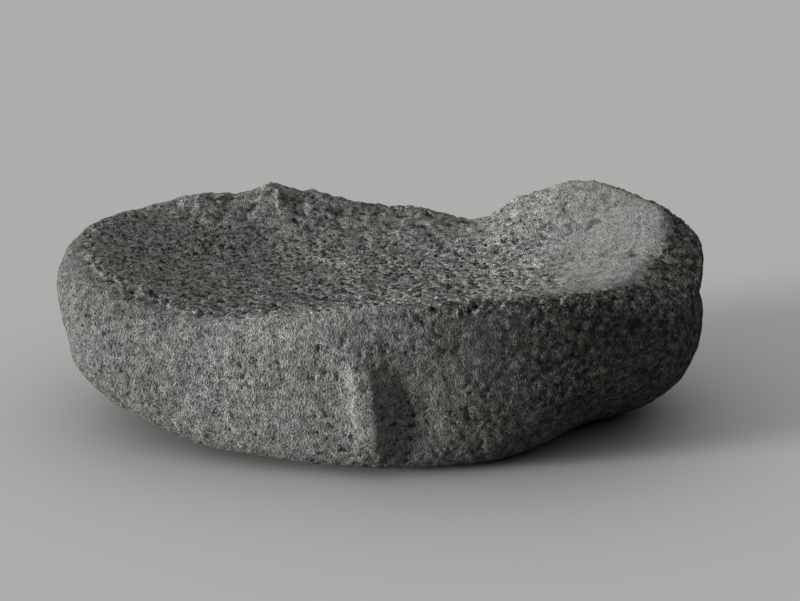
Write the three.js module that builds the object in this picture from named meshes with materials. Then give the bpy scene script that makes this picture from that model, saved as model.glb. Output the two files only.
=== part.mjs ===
// Saddle quern: the lower stone of a hand mill, one block of coarse grey rock.
// Grain lies in the hollow of its top and is rubbed there with a hand stone.
// Millimetres, +Z up, X along the stone, the origin on the ground under the middle of its box.

import * as THREE from 'three';

// The block. Its girth is the widest line round it.
const LENGTH = 396;
const WIDTH = 208;
const SQUARENESS = 2.6; // superellipse power of the plan, where 2 is an ellipse
const GIRTH_HEIGHT = 66;
const RIM_HEIGHT = 110; // crest of the rim along the long sides
const RIM_INSET = 12; // how far the crest lies inside the girth

// The hollow that the hand stone has worn.
const HOLLOW_FLOOR = 92; // height of its lowest point above the ground
const HOLLOW_MIDDLE = { x: 12, y: -4 };
const HOLLOW_BREADTH = 3.2; // power of its section, where a high one is a flat floor with steep ends
const RIM_ROUNDING = 1.5; // power of the turn from the hollow onto the crest, where 1 is sharp

// The underside, boat-shaped, with a worn flat that it stands on.
const FOOT_LENGTH = 190;
const FOOT_WIDTH = 104;
const FOOT_POWER = 2; // a plain ellipse
const FOOT_MIDDLE = { x: 16, y: -9 };
const BELLY_FULLNESS = 2.5; // superellipse power of the section below the girth
const SHOULDER_FULLNESS = 2.2; // and of the section above it

// How finely the surface is divided.
const COLUMNS = 132;
const FOOT_RINGS = 3;
const BELLY_RINGS = 11;
const SHOULDER_RINGS = 8;
const HOLLOW_RINGS = 13;
const COLUMN_SHIFT = 9; // degrees that the columns are drawn from the ends to the sides
const HOLLOW_CROWDING = 1.3; // above 1 draws the hollow's rings together at the rim

// Swellings round the block: where in degrees, counter-clockwise from +X, how wide, how many mm.
const PLAN_SWELLS = [
  { name: 'turned front left', at: 236, spread: 22, size: -9 },
  { name: 'turned front right', at: 303, spread: 20, size: -6 },
  { name: 'square back right corner', at: 22, spread: 14, size: 2.5 },
];
const GIRTH_SWELLS = [
  { name: 'high left end', at: 178, spread: 34, size: 24 },
  { name: 'high right end', at: 10, spread: 32, size: 35 },
];
const RIM_SWELLS = [
  { name: 'back right horn', at: 51, spread: 13, size: 17 },
  { name: 'right end', at: 22, spread: 26, size: 19 },
  { name: 'back left shoulder', at: 126, spread: 24, size: 7 },
  { name: 'left end', at: 172, spread: 22, size: 5 },
  { name: 'front left wear', at: 238, spread: 22, size: -15 },
  { name: 'front right', at: 300, spread: 26, size: 1 },
];
const INSET_SWELLS = [
  { name: 'round left lip', at: 200, spread: 36, size: 14 },
  { name: 'bevelled right end', at: 12, spread: 34, size: 12 },
  { name: 'bevelled front right corner', at: 338, spread: 20, size: 20 },
];
const BREADTH_SWELLS = [
  { name: 'steep left end', at: 178, spread: 44, size: 2.4 },
  { name: 'long right slope', at: 10, spread: 40, size: -0.6 },
];
const BELLY_SWELLS = [
  { name: 'upright front', at: 268, spread: 34, size: 2.1 },
  { name: 'lean front left', at: 212, spread: 22, size: -0.3 },
  { name: 'full right end', at: 8, spread: 24, size: 0.6 },
  { name: 'lean front right', at: 322, spread: 24, size: -0.65 },
];
const SHOULDER_SWELLS = [
  { name: 'crisp front edge', at: 285, spread: 34, size: 0.9 },
  { name: 'bevelled right end', at: 356, spread: 34, size: -0.6 },
];
const ROUNDING_SWELLS = [
  { name: 'crisp right crest', at: 350, spread: 50, size: -0.3 },
];

// Broken and worn places: a middle, how far each reaches, and the push it gives there.
const SCARS = [
  { name: 'back left knob', at: [-73, 92, 118], reach: [12, 18, 24], push: [0, 0, 7] },
  { name: 'tail of the knob', at: [-46, 92, 116], reach: [22, 18, 24], push: [0, 0, 4.5] },
  { name: 'worn back dip', at: [62, 94, 110], reach: [26, 30, 40], push: [0, 0, -12.5] },
  { name: 'worn back edge', at: [18, 94, 110], reach: [24, 30, 40], push: [0, 0, -2.5] },
  { name: 'head of the front arris', at: [-10, -104, 62], reach: [12, 30, 18], push: [0, -3, 0] },
  { name: 'front arris', at: [-3, -104, 34], reach: [12, 30, 24], push: [0, -6, 0] },
  { name: 'hollow beside it', at: [18, -104, 44], reach: [13, 30, 30], push: [0, 4, 0] },
  { name: 'left waist', at: [-200, 0, 60], reach: [16, 50, 13], push: [6, 0, 0] },
  { name: 'right shoulder', at: [188, 40, 104], reach: [18, 22, 12], push: [5, 2, 0] },
  { name: 'right notch', at: [198, 10, 84], reach: [16, 44, 7], push: [-6, 0, 0] },
  { name: 'bulge under the notch', at: [198, 0, 58], reach: [20, 50, 18], push: [4, 0, 0] },
  { name: 'right underside hollow', at: [138, -68, 12], reach: [36, 40, 28], push: [0, 8, 9] },
];

const FULL_TURN = 360;
const RIGHT_ANGLE = Math.PI / 2;

/** A smooth hump: 1 in its middle, fading over its spread. */
function bell(distance, spread) {
  return Math.exp(-((distance / spread) ** 2));
}

/** The sum of some swells at one bearing, in degrees. */
function swell(swells, bearing) {
  return swells.reduce((sum, { at, spread, size }) => {
    const gap = Math.abs(bearing - at) % FULL_TURN;
    return sum + size * bell(Math.min(gap, FULL_TURN - gap), spread);
  }, 0);
}

/** The bearing of a column. Columns crowd a little towards the long sides, for an even spacing. */
function columnBearing(column) {
  const turn = (FULL_TURN * column) / COLUMNS;
  return turn + COLUMN_SHIFT * Math.sin(2 * THREE.MathUtils.degToRad(turn));
}

/** A point of a superellipse in plan, from its half sizes and its middle. */
function planPoint(bearing, halfLength, halfWidth, power, middle = { x: 0, y: 0 }) {
  const angle = THREE.MathUtils.degToRad(bearing);
  const [along, across] = [Math.cos(angle), Math.sin(angle)];
  const reach = (Math.abs(along) ** power + Math.abs(across) ** power) ** (-1 / power);
  return { x: middle.x + halfLength * along * reach, y: middle.y + halfWidth * across * reach };
}

/** A point part of the way from one place in plan to another, at a height. */
function between(from, to, share, height) {
  const { lerp } = THREE.MathUtils;
  return new THREE.Vector3(lerp(from.x, to.x, share), lerp(from.y, to.y, share), height);
}

/** One step along a superelliptic quarter round: how far it has gone at first slowly, and at first fast. */
function quarterRound(step, steps, power) {
  const turn = (RIGHT_ANGLE * step) / steps;
  return { slow: 1 - Math.cos(turn) ** (2 / power), fast: Math.sin(turn) ** (2 / power) };
}

/** The section of the block at one bearing, from the foot out, up and in to the middle of the hollow. */
function section(bearing) {
  const outset = swell(PLAN_SWELLS, bearing);
  const inset = RIM_INSET + swell(INSET_SWELLS, bearing);
  const [halfLength, halfWidth] = [LENGTH / 2 + outset, WIDTH / 2 + outset];
  const foot = planPoint(bearing, FOOT_LENGTH / 2, FOOT_WIDTH / 2, FOOT_POWER, FOOT_MIDDLE);
  const girth = planPoint(bearing, halfLength, halfWidth, SQUARENESS);
  const crest = planPoint(bearing, halfLength - inset, halfWidth - inset, SQUARENESS);

  const girthHeight = GIRTH_HEIGHT + swell(GIRTH_SWELLS, bearing);
  const crestHeight = RIM_HEIGHT + swell(RIM_SWELLS, bearing);
  const belly = BELLY_FULLNESS + swell(BELLY_SWELLS, bearing);
  const shoulder = SHOULDER_FULLNESS + swell(SHOULDER_SWELLS, bearing);
  const breadth = HOLLOW_BREADTH + swell(BREADTH_SWELLS, bearing);
  const rounding = RIM_ROUNDING + swell(ROUNDING_SWELLS, bearing);

  const points = [];
  for (let ring = 1; ring <= FOOT_RINGS; ring++) {
    points.push(between(FOOT_MIDDLE, foot, ring / FOOT_RINGS, 0));
  }
  for (let ring = 1; ring <= BELLY_RINGS; ring++) {
    const { slow, fast } = quarterRound(ring, BELLY_RINGS, belly);
    points.push(between(foot, girth, fast, girthHeight * slow));
  }
  for (let ring = 1; ring <= SHOULDER_RINGS; ring++) {
    const { slow, fast } = quarterRound(ring, SHOULDER_RINGS, shoulder);
    points.push(between(girth, crest, slow, girthHeight + (crestHeight - girthHeight) * fast));
  }
  for (let ring = 1; ring < HOLLOW_RINGS; ring++) {
    const out = 1 - (ring / HOLLOW_RINGS) ** HOLLOW_CROWDING;
    const climb = 1 - (1 - out ** breadth) ** rounding;
    points.push(between(HOLLOW_MIDDLE, crest, out, HOLLOW_FLOOR + (crestHeight - HOLLOW_FLOOR) * climb));
  }
  return points;
}

/** Moves a point by every scar that reaches it. The flat of the foot is left flat. */
function scarred(point) {
  if (point.z === 0) return point;
  for (const { at, reach, push } of SCARS) {
    const share = ['x', 'y', 'z'].reduce((part, axis, k) => part * bell(point[axis] - at[k], reach[k]), 1);
    point.addScaledVector(new THREE.Vector3(...push), share);
  }
  return point;
}

/** The whole surface: columns of section points, closed by a point under the foot and one in the hollow. */
function blockGeometry() {
  const columns = Array.from({ length: COLUMNS }, (_, c) => section(columnBearing(c)).map(scarred));
  const rings = columns[0].length;
  const bottom = COLUMNS * rings;
  const top = bottom + 1;
  const points = columns.flat();
  points.push(new THREE.Vector3(FOOT_MIDDLE.x, FOOT_MIDDLE.y, 0));
  points.push(new THREE.Vector3(HOLLOW_MIDDLE.x, HOLLOW_MIDDLE.y, HOLLOW_FLOOR));

  const faces = [];
  for (let c = 0; c < COLUMNS; c++) {
    const here = c * rings;
    const next = ((c + 1) % COLUMNS) * rings;
    faces.push(bottom, next, here);
    for (let r = 0; r + 1 < rings; r++) {
      faces.push(here + r, next + r, next + r + 1);
      faces.push(here + r, next + r + 1, here + r + 1);
    }
    faces.push(top, here + rings - 1, next + rings - 1);
  }
  const geometry = new THREE.BufferGeometry().setFromPoints(points);
  geometry.setIndex(faces);
  geometry.computeBoundingBox();
  const middle = geometry.boundingBox.getCenter(new THREE.Vector3());
  geometry.translate(-middle.x, -middle.y, 0);
  geometry.computeVertexNormals();
  return geometry;
}

const stone = new THREE.MeshStandardMaterial({ color: 0x73746f, roughness: 0.95, metalness: 0 });
const block = new THREE.Mesh(blockGeometry(), stone);
block.name = 'quern_stone';

const quern = new THREE.Group();
quern.add(block);

export default quern;
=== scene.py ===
"""Saddle quern stone: the looks of one block of coarse grey rock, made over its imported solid.

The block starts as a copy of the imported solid. It is refined, roughened in layers from broad swellings down
to pits, scarred where it is broken or worn, thinned again, and given a grained and pitted rock finish.
"""

import logging
import math
from collections.abc import Sequence
from dataclasses import dataclass
from enum import Enum

import bpy
import numpy as np
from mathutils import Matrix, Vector, noise


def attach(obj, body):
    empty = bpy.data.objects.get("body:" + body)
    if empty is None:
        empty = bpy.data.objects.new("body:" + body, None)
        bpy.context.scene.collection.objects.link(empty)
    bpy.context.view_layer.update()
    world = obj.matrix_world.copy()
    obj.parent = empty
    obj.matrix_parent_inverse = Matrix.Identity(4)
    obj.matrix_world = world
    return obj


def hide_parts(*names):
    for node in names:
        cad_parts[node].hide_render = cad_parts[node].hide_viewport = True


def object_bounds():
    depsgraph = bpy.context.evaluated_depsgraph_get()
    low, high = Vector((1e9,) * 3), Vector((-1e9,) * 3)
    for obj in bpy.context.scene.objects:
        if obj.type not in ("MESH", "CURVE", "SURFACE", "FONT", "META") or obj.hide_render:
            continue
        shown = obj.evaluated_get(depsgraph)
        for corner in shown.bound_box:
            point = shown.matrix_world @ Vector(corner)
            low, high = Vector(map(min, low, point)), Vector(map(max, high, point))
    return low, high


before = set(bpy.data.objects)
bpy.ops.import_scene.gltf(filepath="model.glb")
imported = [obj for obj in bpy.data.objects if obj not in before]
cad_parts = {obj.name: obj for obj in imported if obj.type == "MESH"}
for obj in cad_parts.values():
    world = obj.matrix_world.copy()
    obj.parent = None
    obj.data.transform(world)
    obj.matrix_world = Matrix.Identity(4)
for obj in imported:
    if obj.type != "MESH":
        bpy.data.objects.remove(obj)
CAD_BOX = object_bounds()

MM = 0.001
LOG = logging.getLogger("quern")

TINY = 1e-9  # keeps a division clear of zero
PIT_FLOOR_SHARE = 0.3  # the part of a pit's area that lies at its full depth
PIT_THINNEST = 0.25  # how deep pits are between their patches, as a part of their depth in them
PIT_PATCH_EDGE = 0.25  # how far from its mean the noise of the patches is where pits are shallow or deep
SPECKLE_ROUGHNESS = 0.6  # how strongly the finer layers of a speckle show

Number = int | float
Span = tuple[float, float]
Point = tuple[float, float, float]
Colour = tuple[float, float, float]


class Place(Enum):
    """Where on the block a layer of roughness or a colour lies."""

    ALL_OVER = "all over"
    TOP = "the top, which is mostly the worn hollow"
    HOLLOW = "the pitted part of the hollow"
    POLISHED = "the right slope of the hollow, which is rubbed smooth"
    BACK_RIM = "the inner slope of the back rim"
    BACK_EDGE = "the crest of the back rim"
    WALLS = "the walls and the underside"
    SHOULDER = "the broken bevel between the top and the right part of the walls"
    FRONT = "the front wall"
    # Painted light: the front left of the walls, which faces the key light, is painted paler.
    WEATHERED = "the paler front left of the walls"
    # Painted shade: the right part of the walls, which faces away from the key light, is painted darker.
    STAINED = "the darker right part, but for the broken bevel"
    HIDDEN = "the back wall and the underside"


# The places that the finish reads, by the names they are stored under on the points of the mesh.
STORED_SHARES = {
    "top_share": Place.TOP,
    "polished_share": Place.POLISHED,
    "painted_light_share": Place.WEATHERED,
    "broken_share": Place.SHOULDER,
    "painted_shade_share": Place.STAINED,
}


def smooth_step(low: float, high: float, values: np.ndarray) -> np.ndarray:
    """A smooth rise from 0 at low to 1 at high, or a fall where low is the greater.

    Args:
        low: The value at which the rise starts.
        high: The value at which it ends.
        values: The values to rise over.

    Returns:
        One number from 0 to 1 for each value.
    """
    share = np.clip((values - low) / (high - low), 0.0, 1.0)
    return share * share * (3.0 - 2.0 * share)


def hump(points: np.ndarray, middle: Sequence[float], reach: Sequence[float]) -> np.ndarray:
    """A smooth hump in space: 1 in its middle, fading over its reach along each axis.

    Args:
        points: The places to work it out for, in millimetres.
        middle: The middle of the hump, in millimetres.
        reach: How far it reaches along X, Y and Z, in millimetres.

    Returns:
        One number from 0 to 1 for each point.
    """
    return np.exp(-(((points - middle) / reach) ** 2).sum(axis=1))


def select_only(piece: bpy.types.Object) -> None:
    """Deselects everything, then selects one object and makes it the active one.

    Args:
        piece: The object to select.
    """
    bpy.ops.object.select_all(action="DESELECT")
    piece.select_set(True)
    bpy.context.view_layer.objects.active = piece


def apply_modifier(piece: bpy.types.Object, kind: str, **settings: object) -> None:
    """Puts a modifier on a piece and applies it.

    Args:
        piece: The object to change.
        kind: Blender's name for the kind of modifier.
        **settings: The modifier's settings.
    """
    select_only(piece)
    modifier = piece.modifiers.new(kind.title(), kind)
    for name, value in settings.items():
        setattr(modifier, name, value)
    bpy.ops.object.modifier_apply(modifier=modifier.name)


class Surface:
    """The points of a mesh as arrays, in millimetres, for shaping."""

    def __init__(self, piece: bpy.types.Object) -> None:
        """Reads the points and the outward directions of a piece.

        Args:
            piece: The object whose mesh is read.
        """
        self.mesh = piece.data
        count = len(self.mesh.vertices)
        flat = np.empty(count * 3)
        self.mesh.vertices.foreach_get("co", flat)
        self.points = flat.reshape(count, 3) / MM
        flat = np.empty(count * 3)
        self.mesh.vertex_normals.foreach_get("vector", flat)
        self.outward = flat.reshape(count, 3)

    def store(self) -> None:
        """Writes the points back to the mesh."""
        self.mesh.vertices.foreach_set("co", (self.points * MM).ravel())
        self.mesh.update()

    def note(self, name: str, values: np.ndarray) -> None:
        """Stores a number for every point on the mesh, where the finish can read it."""
        self.mesh.attributes.new(name, "FLOAT", "POINT").data.foreach_set("value", values)

    def evened(self, rounds: int) -> np.ndarray:
        """The points after each has moved to the middle of its neighbours a number of times.

        Args:
            rounds: How many times to even them out.

        Returns:
            The evened points. The surface itself isn't changed.
        """
        flat = np.empty(len(self.mesh.edges) * 2, dtype=np.int32)
        self.mesh.edges.foreach_get("vertices", flat)
        one, other = flat.reshape(-1, 2).T
        count = len(self.points)
        neighbours = np.bincount(one, minlength=count) + np.bincount(other, minlength=count)
        points = self.points
        for _ in range(rounds):
            sums = [
                np.bincount(one, points[other, axis], count) + np.bincount(other, points[one, axis], count)
                for axis in range(3)
            ]
            points = np.stack(sums, axis=1) / neighbours[:, None]
        return points


class Socket:
    """A socket of a material's nodes, with Python's operators. An expression adds its Math nodes."""

    def __init__(self, shader: "Shader", link: bpy.types.NodeSocket) -> None:
        """Keeps the socket and the shader that it belongs to."""
        self.shader = shader
        self.link = link

    def maths(self, operation: str, *values: "Input") -> "Socket":
        """A Math node on this socket and some more values."""
        return self.shader.node("ShaderNodeMath", {"operation": operation}, dict(enumerate((self, *values))))

    def __add__(self, other: "Input") -> "Socket":
        """This plus another."""
        return self.maths("ADD", other)

    def __mul__(self, other: "Input") -> "Socket":
        """This times another."""
        return self.maths("MULTIPLY", other)

    def __sub__(self, other: "Input") -> "Socket":
        """This less another."""
        return self.maths("SUBTRACT", other)

    def __rsub__(self, other: Number) -> "Socket":
        """A number less this."""
        return self.shader.node("ShaderNodeMath", {"operation": "SUBTRACT"}, {0: other, 1: self})

    __radd__ = __add__
    __rmul__ = __mul__

    def rise(self, low: float, high: float) -> "Socket":
        """A smooth rise from 0 at low to 1 at high, or a fall where low is the greater."""
        inputs = {"Value": self, "From Min": low, "From Max": high}
        return self.shader.node("ShaderNodeMapRange", {"interpolation_type": "SMOOTHSTEP"}, inputs)


Input = Socket | Number | Colour


@dataclass(frozen=True)
class Speckle:
    """A cloudy pattern: how large its lumps are in millimetres, and how many finer layers lie on them.

    It is shifted in metres, to part it from the others, and its lumps are longer by its stretch.
    """

    size: float
    detail: float = 2.0
    shift: float = 0.0
    stretch: Point = (1.0, 1.0, 1.0)


@dataclass(frozen=True)
class Tint:
    """A colour that multiplies the rock's own, from not at all where its span starts to fully at its end."""

    colour: Colour
    span: Span
    strength: float = 1.0


class Shader:
    """The nodes of one material, added one by one."""

    def __init__(self, name: str) -> None:
        """Makes a material with a bare surface shader.

        Args:
            name: The name of the material.
        """
        self.material = bpy.data.materials.new(name)
        self.material.use_nodes = True
        self.tree = self.material.node_tree
        self.surface = self.tree.nodes["Principled BSDF"]

    def node(
        self,
        kind: str,
        settings: dict[str, str],
        inputs: dict[int, Input] | dict[str, Input],
        output: int | str = 0,
    ) -> Socket:
        """Adds a node.

        Args:
            kind: Blender's name for the kind of node.
            settings: The node's own settings, which are set first.
            inputs: What goes into its sockets, by name or number: a socket, a number or a colour.
            output: The socket that is wanted from it.

        Returns:
            The wanted output.
        """
        node = self.tree.nodes.new(kind)
        for name, value in settings.items():
            setattr(node, name, value)
        for name, value in inputs.items():
            self.put(node.inputs[name], value)
        return Socket(self, node.outputs[output])

    def put(self, target: bpy.types.NodeSocket, value: Input) -> None:
        """Links a socket to a target, or sets the target to a number or a colour.

        Args:
            target: The socket that takes the value.
            value: What goes into it.
        """
        if isinstance(value, Socket):
            self.tree.links.new(value.link, target)
        elif isinstance(value, tuple) and target.type == "RGBA":
            target.default_value = (*value, 1.0)
        else:
            target.default_value = value

    def mixed(self, share: Input, first: Input, second: Input, blend: str = "MIX") -> Socket:
        """A colour between two, by a share from 0 to 1.

        Args:
            share: How much of the second there is.
            first: The first colour.
            second: The second colour.
            blend: How the second goes onto the first.

        Returns:
            The colour.
        """
        node = self.tree.nodes.new("ShaderNodeMix")
        node.data_type = "RGBA"
        node.blend_type = blend
        for name, value in (("Factor_Float", share), ("A_Color", first), ("B_Color", second)):
            self.put(next(socket for socket in node.inputs if socket.identifier == name), value)
        return Socket(self, next(socket for socket in node.outputs if socket.identifier == "Result_Color"))

    def tinted(self, share: Input, colour: Input, tint: Colour) -> Socket:
        """A colour multiplied by a tint, where the share is 1, and less so where it is lower."""
        return self.mixed(share, colour, tint, "MULTIPLY")

    def touched(self, colour: Input, tint: Tint, pattern: Socket, share: Input = 1.0) -> Socket:
        """A colour with a tint on it where a pattern lies in the tint's span.

        Args:
            colour: The colour.
            tint: The tint.
            pattern: The pattern, or a number stored on the points.
            share: How much of the tint there may be.

        Returns:
            The tinted colour.
        """
        return self.tinted(pattern.rise(*tint.span) * share * tint.strength, colour, tint.colour)

    def speckle(self, pattern: Speckle) -> Socket:
        """Cloudy noise that lies in the rock itself.

        Args:
            pattern: The sizes of the noise.

        Returns:
            The noise, mostly from 0.3 to 0.7.
        """
        place = {
            "Vector": self.node("ShaderNodeTexCoord", {}, {}, "Object"),
            "Location": (pattern.shift,) * 3,
            "Scale": tuple(1.0 / longer for longer in pattern.stretch),
        }
        inputs = {
            "Vector": self.node("ShaderNodeMapping", {}, place),
            "Scale": 1.0 / (pattern.size * MM),
            "Detail": pattern.detail,
            "Roughness": SPECKLE_ROUGHNESS,
        }
        return self.node("ShaderNodeTexNoise", {}, inputs)

    def measured(self, name: str) -> Socket:
        """A number that is stored on the points of the piece."""
        return self.node("ShaderNodeAttribute", {"attribute_name": name}, {}, "Fac")


# The tints of the pale grains, also used for the painted highlight on the ledges, of the dull ones, also used
# for the painted shade in the groove, and of the pits and pores, whose darkening is partly painted shade and
# partly dirt.
PALE: Colour = (1.85, 1.85, 1.82)
DULL: Colour = (0.48, 0.48, 0.47)
DARK: Colour = (0.3, 0.3, 0.29)


@dataclass(frozen=True)
class Rock:
    """The finish of the block: coarse grey rock with pale and dark grains, darker in its pits and pores,
    partly as painted shade and partly as dirt.

    Colours are in linear light, and a tint multiplies them. What is rubbed off is a part of the whole.
    """

    name: str = "coarse_grey_rock"
    roughness: float = 0.92
    specular: float = 0.2

    # The ground colours, before the grains.
    walls: Colour = (0.172, 0.173, 0.162)
    top: Colour = (0.29, 0.291, 0.275)
    polished: Colour = (0.235, 0.236, 0.223)
    # Painted light on the front left of the walls, which faces the key light.
    painted_light_tint: Colour = (1.5, 1.5, 1.5)
    # Painted shade on the right part of the walls, which faces away from the key light.
    painted_shade_tint: Colour = (0.62, 0.62, 0.61)
    patches: Speckle = Speckle(34.0, shift=9.1)
    cool_patches: Tint = Tint((0.985, 0.97, 1.04), (0.46, 0.62))

    # The grains, and the larger mottles.
    grain: Speckle = Speckle(1.1)
    wall_grain: Speckle = Speckle(1.1, shift=3.1, stretch=(1.0, 1.0, 1.15))
    pale_grains: Tint = Tint(PALE, (0.54, 0.68))
    dull_grains: Tint = Tint(DULL, (0.48, 0.34))
    mottle: Speckle = Speckle(4.5, shift=6.3)
    pale_mottles: Tint = Tint(PALE, (0.5, 0.64), 0.35)
    dull_mottles: Tint = Tint(DULL, (0.5, 0.36), 0.6)
    wall_mottling: float = 1.8  # how much stronger the mottles are on the walls

    # How strongly the grains show, where 1 is as on the top.
    wall_contrast: float = 0.42
    added_contrast: float = 0.55  # on the right part of the walls, which is painted darker as painted shade
    broken_contrast: float = 1.6  # and so many times as much where they are broken
    contrast_rubbed_off: float = 0.55

    # The fine pores, and the ledges and pits of the surface itself, by their heights in millimetres.
    pores: Speckle = Speckle(2.8, 3.0, 1.7)
    pore_span: Span = (0.45, 0.33)
    wall_pores: Speckle = Speckle(1.68, 3.0, 2.9, (1.0, 1.0, 1.2))
    wall_pore_span: Span = (0.43, 0.31)
    wall_pore_share: float = 0.6
    pores_rubbed_off: float = 0.8
    # Painted shade and dirt in the pores: how strongly they are darkened.
    pore_shade_and_dirt: float = 0.85
    # A painted highlight on the raised ledges, where grazing light would catch them.
    ledge_painted_highlight: Tint = Tint(PALE, (0.4, 2.2), 0.3)
    # Painted shade in the groove, where the ledge height falls below zero.
    groove_painted_shade: Tint = Tint(DULL, (-0.4, -2.0), 0.9)
    # Painted shade and dirt in the pits, by their depth below the evened surface.
    pit_shade_and_dirt: Tint = Tint(DARK, (0.15, 0.7), 0.9)

    # The relief that is too fine for the mesh.
    relief: float = 2.2  # in millimetres
    grain_height: float = 0.8
    grain_rubbed_off: float = 0.4

    def material(self) -> bpy.types.Material:
        """Makes the finish.

        Returns:
            The material.
        """
        shader = Shader(self.name)
        top = shader.measured("top_share")
        polished = shader.measured("polished_share")
        grain = shader.speckle(self.grain) * top + shader.speckle(self.wall_grain) * (1 - top)
        pores = self.all_pores(shader, top, polished)
        colour = self.ground(shader, top, polished)
        contrast = self.contrast(shader, top, polished)
        mottling = contrast * (self.wall_mottling - top * (self.wall_mottling - 1.0))
        mottle = shader.speckle(self.mottle)
        colour = shader.touched(colour, self.pale_mottles, mottle, mottling)
        colour = shader.touched(colour, self.dull_mottles, mottle, mottling)
        colour = shader.touched(colour, self.pale_grains, grain, contrast)
        colour = shader.touched(colour, self.dull_grains, grain, contrast)
        ledges = shader.measured("ledge_height")
        # A painted highlight on the raised ledges, and painted shade in the groove.
        colour = shader.touched(colour, self.ledge_painted_highlight, ledges)
        colour = shader.touched(colour, self.groove_painted_shade, ledges)
        # Painted shade and dirt: the pores are darkened.
        colour = shader.tinted(pores * self.pore_shade_and_dirt, colour, DARK)
        # Painted shade and dirt: the pits are darkened by their depth.
        colour = shader.touched(colour, self.pit_shade_and_dirt, shader.measured("pit_depth"))
        height = grain * (self.grain_height - polished * self.grain_rubbed_off) - pores
        bump = {"Height": height, "Strength": 1.0, "Distance": self.relief * MM}
        shader.put(shader.surface.inputs["Base Color"], colour)
        shader.put(shader.surface.inputs["Normal"], shader.node("ShaderNodeBump", {}, bump))
        shader.put(shader.surface.inputs["Roughness"], self.roughness)
        shader.put(shader.surface.inputs["Specular IOR Level"], self.specular)
        return shader.material

    def ground(self, shader: Shader, top: Socket, polished: Socket) -> Socket:
        """The colour of the rock before its grains and pores, with painted light on the front left of the
        walls and painted shade on their right part.

        Args:
            shader: The shader to add it to.
            top: How much each place belongs to the top.
            polished: How much it is rubbed smooth.

        Returns:
            The colour.
        """
        # Painted light: the front left of the walls is lightened.
        walls = shader.tinted(shader.measured("painted_light_share"), self.walls, self.painted_light_tint)
        # Painted shade: the right part of the walls is darkened.
        walls = shader.tinted(shader.measured("painted_shade_share"), walls, self.painted_shade_tint)
        colour = shader.mixed(polished, shader.mixed(top, walls, self.top), self.polished)
        return shader.touched(colour, self.cool_patches, shader.speckle(self.patches))

    def contrast(self, shader: Shader, top: Socket, polished: Socket) -> Socket:
        """How strongly the grains show.

        Args:
            shader: The shader to add it to.
            top: How much each place belongs to the top.
            polished: How much it is rubbed smooth.

        Returns:
            The contrast, 1 on the top where it isn't polished.
        """
        plain = self.wall_contrast + top * (1.0 - self.wall_contrast)
        # The grains show more where the walls are painted darker as painted shade, and where they are broken.
        shaded_and_broken = shader.measured("painted_shade_share") + shader.measured("broken_share") * self.broken_contrast
        return (plain + shaded_and_broken * (1 - top) * self.added_contrast) * (1 - polished * self.contrast_rubbed_off)

    def all_pores(self, shader: Shader, top: Socket, polished: Socket) -> Socket:
        """The fine pores of the top and of the walls.

        Args:
            shader: The shader to add them to.
            top: How much each place belongs to the top.
            polished: How much it is rubbed smooth.

        Returns:
            How deep each place lies in a pore, from 0 to 1.
        """
        on_top = shader.speckle(self.pores).rise(*self.pore_span) * top
        on_walls = shader.speckle(self.wall_pores).rise(*self.wall_pore_span) * (1 - top)
        return (on_top + on_walls * self.wall_pore_share) * (1 - polished * self.pores_rubbed_off)


@dataclass(frozen=True)
class Roughness:
    """One layer of lumps: how far apart, how high, and where."""

    name: str
    size: float
    height: float
    place: Place = Place.ALL_OVER
    octaves: int = 1
    basis: str = "PERLIN_NEW"
    stretch: Point = (1.0, 1.0, 1.0)

    def at(self, points: np.ndarray) -> np.ndarray:
        """The height of the layer at some points, before its place is allowed for.

        Args:
            points: The points, in millimetres.

        Returns:
            The heights, in millimetres.
        """
        scaled = (points / (np.array(self.stretch) * self.size)).tolist()
        heights = (noise.fractal(point, 1.0, 2.0, self.octaves, noise_basis=self.basis) for point in scaled)
        return self.height * np.fromiter(heights, float, len(points))


@dataclass(frozen=True)
class Pits(Roughness):
    """One layer of ragged pits. Its height is their depth, and the rock between them is left as it is."""

    share: float = 0.25
    patch: float = 45.0

    def at(self, points: np.ndarray) -> np.ndarray:
        """The layer at some points. The pits are deep in patches and shallow between them.

        Args:
            points: The points, in millimetres.

        Returns:
            Heights of zero or less, in millimetres.
        """
        lumps = super().at(points)
        edge, floor = np.quantile(lumps, (self.share, self.share * PIT_FLOOR_SHARE))
        patches = Roughness("patches", self.patch, 1.0, octaves=2).at(points)
        depth = PIT_THINNEST + (1.0 - PIT_THINNEST) * smooth_step(-PIT_PATCH_EDGE, PIT_PATCH_EDGE, patches)
        return -self.height * depth * smooth_step(edge, floor, lumps)


ON_FRONT = (1.0, 0.0, 1.0)  # the axes of a ledge on the front wall


@dataclass(frozen=True)
class Ledge:
    """A ragged line along which the rock stands up, or is broken away where the height is below zero.

    On one side of the line it falls off over its width, and on the other over a part of that, its steepness.
    Only the axes that it is measured along count: X and Y for one on the top, X and Z for one on the front.
    """

    name: str
    start: Point
    end: Point
    width: float
    height: float
    place: Place = Place.TOP
    axes: Point = (1.0, 1.0, 0.0)
    steepness: float = 0.3
    fading: float = 0.3

    def at(self, points: np.ndarray) -> np.ndarray:
        """The height of the ledge at some points. It has a sharp crest and fades over a part of each end.

        Args:
            points: The points, in millimetres.

        Returns:
            The heights, in millimetres.
        """
        start, axes = np.array(self.start), np.array(self.axes)
        line = (np.array(self.end) - start) * axes
        offset = (points - start) * axes
        share = np.clip(offset @ line / (line @ line), 0.0, 1.0)
        distance = np.linalg.norm(offset - share[:, None] * line, axis=1)
        gentle = np.cross(line, offset).sum(axis=1) > 0.0
        width = np.where(gentle, self.width, self.width * self.steepness)
        fade = smooth_step(0.0, self.fading, share) * smooth_step(1.0, 1.0 - self.fading, share)
        return self.height * fade * np.exp(-distance / width)


@dataclass(frozen=True)
class Scar:
    """A broken or worn place: a middle, how far it reaches, and the push it gives there, in millimetres."""

    name: str
    middle: Point
    reach: Point
    push: Point


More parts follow.
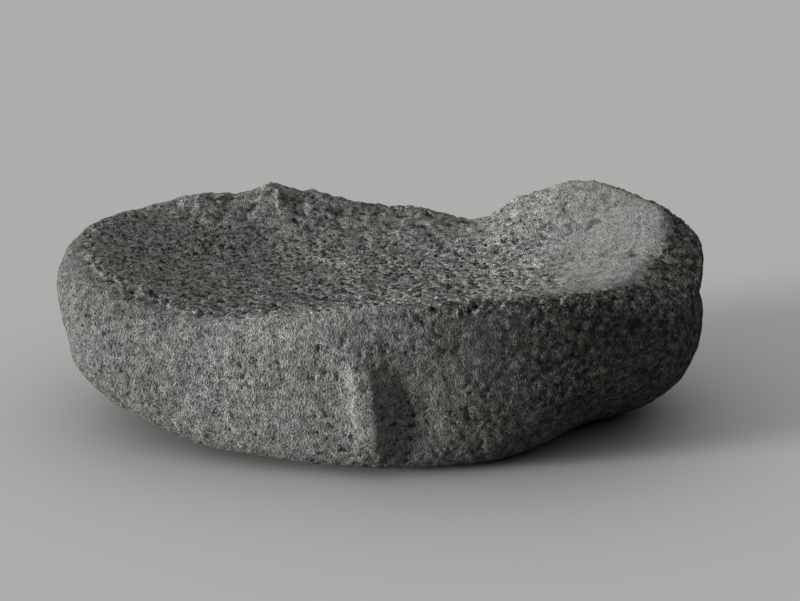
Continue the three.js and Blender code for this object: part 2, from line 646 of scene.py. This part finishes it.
@dataclass(frozen=True)
class Zones:
    """Where the places on the block lie.

    A span is where a place starts and where it counts in full. Those of the level, upward, beneath and outer
    rock are parts of its outward direction, which has a length of 1, and the others are in millimetres.
    """

    hollow_middle: tuple[float, float] = (12.0, -4.0)
    hollow_half: tuple[float, float] = (180.0, 90.0)
    level: Span = (0.45, 0.8)
    upward: Span = (0.2, 0.5)
    beneath: Span = (-0.3, -0.8)
    outer: Span = (0.3, 0.1)
    right_part: Span = (0.0, 60.0)
    right_slope: Span = (60.0, 140.0)
    # Where the painted shade on the right part of the walls starts and where it is full, along X.
    right_painted_shade: Span = (40.0, 130.0)
    back_rim: Span = (30.0, 70.0)
    back_rim_end: Span = (160.0, 120.0)
    back_edge: Span = (60.0, 85.0)
    back_half: Span = (-30.0, 30.0)
    front_half: Span = (0.0, -60.0)
    back_polish: float = 0.45  # how smooth the back rim is, where the right slope is 1
    back_calm: float = 0.3  # how much less the back rim is pitted than the hollow
    # The middle and reach of the painted light on the front left of the walls.
    painted_light_middle: Point = (-75.0, -110.0, 60.0)
    painted_light_reach: Point = (90.0, 90.0, 200.0)

    def shares(self, surface: Surface) -> dict[Place, np.ndarray]:
        """How much each point belongs to each place.

        Args:
            surface: The points and their outward directions.

        Returns:
            For each place, one number from 0 to 1 for each point.
        """
        along, across, _ = surface.points.T
        facing = surface.outward[:, 2]
        level = smooth_step(*self.level, facing)
        upward = smooth_step(*self.upward, facing)
        top = level * smooth_step(*self.outer, self.lean(surface))
        back = smooth_step(*self.back_rim, across) * smooth_step(*self.back_rim_end, along)
        polished = top * np.maximum(smooth_step(*self.right_slope, along), self.back_polish * back)
        shoulder = upward * (1.0 - top) * smooth_step(*self.right_part, along)
        behind = smooth_step(*self.back_half, across) * (1.0 - top)
        return {
            Place.ALL_OVER: np.ones(len(top)),
            Place.TOP: top,
            Place.HOLLOW: (top - polished) * (1.0 - self.back_calm * back),
            Place.POLISHED: polished,
            Place.BACK_RIM: level * back,
            Place.BACK_EDGE: upward * smooth_step(*self.back_edge, across),
            Place.WALLS: 1.0 - top,
            Place.SHOULDER: shoulder,
            Place.FRONT: (1.0 - level) * smooth_step(*self.front_half, across),
            Place.WEATHERED: hump(surface.points, self.painted_light_middle, self.painted_light_reach),
            Place.STAINED: smooth_step(*self.right_painted_shade, along) * (1.0 - shoulder),
            Place.HIDDEN: np.maximum(behind, smooth_step(*self.beneath, facing)),
        }

    def lean(self, surface: Surface) -> np.ndarray:
        """How far the rock leans away from the middle of the hollow.

        Args:
            surface: The points and their outward directions.

        Returns:
            For each point, the part of its outward direction that points away from the middle.
        """
        away = (surface.points[:, :2] - self.hollow_middle) / np.square(self.hollow_half)
        away /= np.linalg.norm(away, axis=1, keepdims=True) + TINY
        return (surface.outward[:, :2] * away).sum(axis=1)


@dataclass
class QuernStone:
    """The block: its sizes in millimetres, and how it is shaped and finished."""

    node: str = "quern_stone"
    name: str = "saddle_quern_block"
    join_distance: float = 0.01
    rounding_levels: int = 2
    voxel: float = 0.85
    kept_faces: int = 196000
    shown_weight: float = 0.2  # how readily the shown faces are thinned, where the hidden ones are 1
    thinning_levels: int = 4
    thinning_pull: float = 0.00001
    skin: float = 1.3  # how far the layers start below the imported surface
    clearance: float = 0.1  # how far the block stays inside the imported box
    pit_rounds: int = 6  # how many times the surface is evened out to find its pits
    layers: tuple[Roughness | Ledge, ...] = (
        Roughness("broad swellings", 85.0, 1.6, octaves=2),
        Roughness("lumps", 26.0, 0.9, octaves=2),
        Roughness("back rim lumps", 18.0, 1.0, Place.BACK_RIM, 2),
        Roughness("back edge nicks", 8.0, 1.3, Place.BACK_EDGE, 2),
        Roughness("coarse grain", 7.0, 0.5, octaves=2),
        Roughness("hollow lumps", 9.0, 0.8, Place.HOLLOW, 2),
        Roughness("hollow grain", 3.2, 0.75, Place.HOLLOW, 2),
        Roughness("wall grain", 3.2, 0.35, Place.WALLS, 2, stretch=(0.95, 0.95, 1.15)),
        Roughness("shoulder grain", 3.4, 0.9, Place.SHOULDER, 2),
        Pits("hollow pits", 4.4, 1.6, Place.HOLLOW, 3),
        Pits("wall pits", 4.5, 0.65, Place.WALLS, 3, stretch=(0.95, 0.95, 1.2)),
        Pits("shoulder pits", 4.2, 1.4, Place.SHOULDER, 3, share=0.3),
        Ledge("front arris", (-7.0, 0.0, 78.0), (2.0, 0.0, 0.0), 6.0, 1.0, Place.FRONT, ON_FRONT, 1.0),
        Ledge("ridge beside it", (-18.5, 0.0, 96.0), (-8.5, 0.0, 0.0), 6.5, 1.7, Place.FRONT, ON_FRONT, 1.0),
        Ledge("lip behind the front edge", (24.0, -40.0, 0.0), (-28.0, -47.0, 0.0), 5.0, 2.2),
        Ledge("groove behind it", (-56.0, -32.0, 0.0), (22.0, -38.0, 0.0), 5.0, -2.6),
        Ledge("ridge across the hollow", (-48.0, 35.0, 0.0), (-12.0, 14.0, 0.0), 7.0, 2.4),
    )
    scars: tuple[Scar, ...] = (
        Scar("right notch", (198.0, 10.0, 84.0), (14.0, 34.0, 4.0), (-3.0, 0.0, 0.0)),
        Scar("back left crest", (-116.0, 86.0, 112.0), (20.0, 20.0, 20.0), (0.0, 0.0, 2.8)),
        Scar("worn left crest", (-152.0, 70.0, 108.0), (18.0, 24.0, 20.0), (0.0, 0.0, -1.5)),
        Scar("top of the knob", (-66.0, 92.0, 120.0), (8.0, 16.0, 20.0), (0.0, 0.0, 1.8)),
        Scar("tail of the knob", (-46.0, 92.0, 116.0), (14.0, 16.0, 20.0), (0.0, 0.0, 1.9)),
        Scar("bulge under the left waist", (-190.0, 0.0, 45.0), (20.0, 50.0, 11.0), (-2.8, 0.0, 0.0)),
        Scar("right shoulder", (197.0, 30.0, 99.0), (22.0, 44.0, 11.0), (2.0, 0.0, 0.0)),
        Scar("worn top of the shoulder", (184.0, 50.0, 115.0), (16.0, 30.0, 14.0), (-1.0, 0.0, -2.5)),
        Scar("slope of the horn", (106.0, 86.0, 122.0), (18.0, 24.0, 30.0), (0.0, 0.0, -4.2)),
        Scar("crown of the horn", (130.0, 84.0, 128.0), (24.0, 30.0, 30.0), (0.0, 0.0, -1.6)),
        Scar("knob on the slope", (86.0, 86.0, 112.0), (6.0, 16.0, 20.0), (0.0, 0.0, 1.8)),
        Scar("second knob", (114.0, 86.0, 122.0), (5.0, 16.0, 20.0), (0.0, 0.0, 1.4)),
    )
    ragging: float = 2.5  # how far the layers are shifted about, to make their edges ragged
    ragging_size: float = 9.0
    ragging_seed: int = 1  # without a seed the shifts would be others at each run

    def build(self) -> bpy.types.Object:
        """Makes the block.

        Returns:
            The finished block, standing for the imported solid.
        """
        block = self.copy_of_solid()
        self.refine(block)
        self.roughen(block)
        self.thin(block)
        self.measure(block)
        block.data.materials.append(Rock().material())
        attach(block, "root")
        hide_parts(self.node)
        return block

    def copy_of_solid(self) -> bpy.types.Object:
        """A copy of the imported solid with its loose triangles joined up.

        Returns:
            The copy, an object of its own.
        """
        select_only(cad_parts[self.node])
        bpy.ops.object.duplicate()
        block = bpy.context.view_layer.objects.active
        block.name = block.data.name = self.name
        block.data.materials.clear()
        bpy.ops.object.mode_set(mode="EDIT")
        bpy.ops.mesh.select_all(action="SELECT")
        bpy.ops.mesh.remove_doubles(threshold=self.join_distance * MM)
        bpy.ops.mesh.tris_convert_to_quads(face_threshold=math.pi, shape_threshold=math.pi)
        bpy.ops.mesh.normals_make_consistent(inside=False)
        bpy.ops.object.mode_set(mode="OBJECT")
        return block

    def refine(self, block: bpy.types.Object) -> None:
        """Rounds the block's facets off and covers it with small even faces."""
        apply_modifier(block, "SUBSURF", levels=self.rounding_levels, render_levels=self.rounding_levels)
        apply_modifier(block, "REMESH", mode="VOXEL", voxel_size=self.voxel * MM, use_smooth_shade=True)

    def heights(self, rest: np.ndarray, places: dict[Place, np.ndarray]) -> tuple[np.ndarray, np.ndarray]:
        """How far the layers move each point outwards, in millimetres.

        Args:
            rest: The points before they are moved.
            places: How much each of them belongs to each place.

        Returns:
            The height of all the layers together, and that of the ledges alone.
        """
        noise.seed_set(self.ragging_seed)
        shifts = np.array([noise.noise_vector(point) for point in (rest / self.ragging_size).tolist()])
        ragged = rest + self.ragging * shifts
        height = np.full(len(rest), -self.skin)
        ledges = np.zeros(len(rest))
        for layer in self.layers:
            lift = layer.at(ragged) * places[layer.place]
            height += lift
            if isinstance(layer, Ledge):
                ledges += lift
        return height, ledges

    def roughen(self, block: bpy.types.Object) -> None:
        """Moves the block's points in and out by its layers, and then by its scars.

        Args:
            block: The refined block.
        """
        surface = Surface(block)
        places = Zones().shares(surface)
        rest = surface.points
        height, ledges = self.heights(rest, places)
        surface.points = rest + surface.outward * height[:, None]
        for scar in self.scars:
            surface.points += hump(rest, scar.middle, scar.reach)[:, None] * np.array(scar.push)
        lowest, highest = (np.array(corner) / MM for corner in CAD_BOX)
        surface.points = np.clip(surface.points, lowest + self.clearance, highest - self.clearance)
        surface.store()
        for name, place in STORED_SHARES.items():
            surface.note(name, places[place])
        surface.note("ledge_height", ledges)

    def thin(self, block: bpy.types.Object) -> None:
        """Takes faces away down to the number kept, mostly where the block is smooth or stands hidden.

        Args:
            block: The roughened block.
        """
        hidden = Zones().shares(Surface(block))[Place.HIDDEN]
        group = block.vertex_groups.new(name="hidden")
        for level in range(self.thinning_levels + 1):
            share = level / self.thinning_levels
            members = np.flatnonzero(np.rint(hidden * self.thinning_levels) == level)
            group.add(members.tolist(), self.shown_weight + (1.0 - self.shown_weight) * share, "REPLACE")
        settings = {
            "ratio": min(1.0, self.kept_faces / (2 * len(block.data.polygons))),
            "use_collapse_triangulate": True,
            "vertex_group": group.name,
            "vertex_group_factor": self.thinning_pull,
        }
        apply_modifier(block, "DECIMATE", **settings)
        block.vertex_groups.clear()
        select_only(block)
        bpy.ops.object.shade_smooth()

    def measure(self, block: bpy.types.Object) -> None:
        """Stores for every point how deep it lies in a pit, for the finish, which darkens the pits partly as
        painted shade and partly as dirt.

        Args:
            block: The thinned block.
        """
        surface = Surface(block)
        depth = ((surface.evened(self.pit_rounds) - surface.points) * surface.outward).sum(axis=1)
        surface.note("pit_depth", depth)
        LOG.info("pit depth: %.2f to %.2f mm", depth.min(), depth.max())


@dataclass(frozen=True)
class Stage:
    """The floor, the lights and the camera round the block. Lengths are in metres and angles in degrees."""

    floor_radius: float = 12.0
    floor_sides: int = 96
    floor_colour: Colour = (0.52, 0.52, 0.514)
    floor_roughness: float = 0.9
    floor_specular: float = 0.1
    key_side: float = 73.0  # how far the key light stands round to the left
    key_rise: float = 6.3
    key_softness: float = 14.0
    key_strength: float = 6.2
    sky_direction: Point = (-0.12, 0.05, 1.0)
    sky_softness: float = 130.0
    sky_strength: float = 2.55
    film_gamma: float = 0.72
    camera_target: Point = (0.0117, 0.0, 0.076)
    camera_distance: float = 1.3
    camera_elevation: float = 21.0
    camera_lens: float = 95.0

    def build(self) -> None:
        """Makes the floor, the lights, the camera and the dark surroundings."""
        self.floor()
        side, rise = math.radians(self.key_side), math.radians(self.key_rise)
        level = math.cos(rise)
        key = Vector((-math.sin(side) * level, -math.cos(side) * level, math.sin(rise)))
        self.light("key_light", key, self.key_softness, self.key_strength)
        self.light("sky_light", Vector(self.sky_direction), self.sky_softness, self.sky_strength)
        self.camera()
        world = bpy.data.worlds.new("studio")
        world.use_nodes = True
        world.node_tree.nodes["Background"].inputs["Strength"].default_value = 0.0
        bpy.context.scene.world = world
        bpy.context.scene.view_settings.view_transform = "Standard"
        bpy.context.scene.view_settings.gamma = self.film_gamma

    def floor(self) -> None:
        """A wide round floor, level with the underside of the block."""
        bpy.ops.object.select_all(action="DESELECT")
        bpy.ops.mesh.primitive_circle_add(
            vertices=self.floor_sides, radius=self.floor_radius, fill_type="NGON"
        )
        floor = bpy.context.view_layer.objects.active
        floor.name = "studio_floor"
        shader = Shader("pale_floor")
        shader.put(shader.surface.inputs["Base Color"], self.floor_colour)
        shader.put(shader.surface.inputs["Roughness"], self.floor_roughness)
        shader.put(shader.surface.inputs["Specular IOR Level"], self.floor_specular)
        floor.data.materials.append(shader.material)

    def light(self, name: str, towards: Vector, softness: float, strength: float) -> None:
        """A far soft light, which falls alike on the block and on the whole floor.

        Args:
            name: The name of the light.
            towards: The direction from the block to the light.
            softness: The angle that the light fills, as seen from the block.
            strength: Its strength in watts on a square metre.
        """
        data = bpy.data.lights.new(name, "SUN")
        data.energy = strength
        data.angle = math.radians(softness)
        lamp = bpy.data.objects.new(name, data)
        bpy.context.scene.collection.objects.link(lamp)
        lamp.location = towards
        lamp.rotation_mode = "QUATERNION"
        lamp.rotation_quaternion = (-towards).to_track_quat("-Z", "Y")

    def camera(self) -> None:
        """The camera, in front of the block and looking down on it."""
        rise = math.radians(self.camera_elevation)
        back = Vector((0.0, -math.cos(rise), math.sin(rise)))
        data = bpy.data.cameras.new("camera")
        data.lens = self.camera_lens
        camera = bpy.data.objects.new("camera", data)
        bpy.context.scene.collection.objects.link(camera)
        camera.location = Vector(self.camera_target) + back * self.camera_distance
        camera.rotation_mode = "QUATERNION"
        camera.rotation_quaternion = (-back).to_track_quat("-Z", "Y")
        bpy.context.scene.camera = camera


def main() -> None:
    """Builds the block and its stage, and logs the block's name and number of faces."""
    logging.basicConfig(level=logging.INFO, format="%(name)s: %(message)s")
    block = QuernStone().build()
    LOG.info("%s: %d faces", block.name, len(block.data.polygons))
    Stage().build()


if __name__ == "__main__":
    main()
